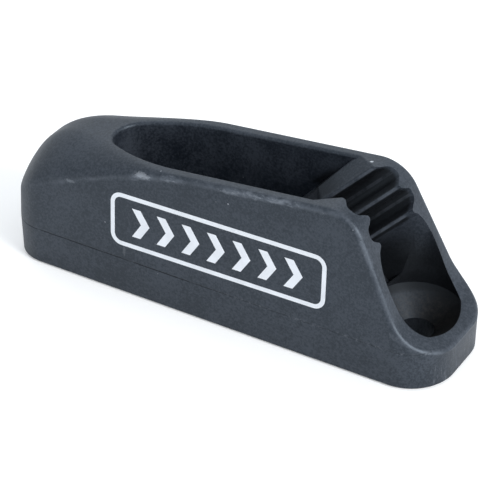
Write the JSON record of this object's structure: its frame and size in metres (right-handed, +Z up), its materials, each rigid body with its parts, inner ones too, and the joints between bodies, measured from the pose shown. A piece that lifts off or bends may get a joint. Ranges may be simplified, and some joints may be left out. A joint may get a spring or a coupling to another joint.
{
  "type": "jam cleat",
  "caption": "Moulded jam cleat: a light line comes through the nose, up a deep open pocket, and is jammed between ridged walls that narrow downwards.",
  "frame": {"origin": "middle of the flat base that is screwed to the deck", "axes": "+X towards the low toe where the line leaves the ridged channel, +Z up from the deck, +Y across"},
  "size_m": [0.0748, 0.0204, 0.0261],
  "materials": {
    "nylon": "satin"
  },
  "bodies": {
    "root": {"cleat_body": "nylon"}
  },
  "joints": []
}
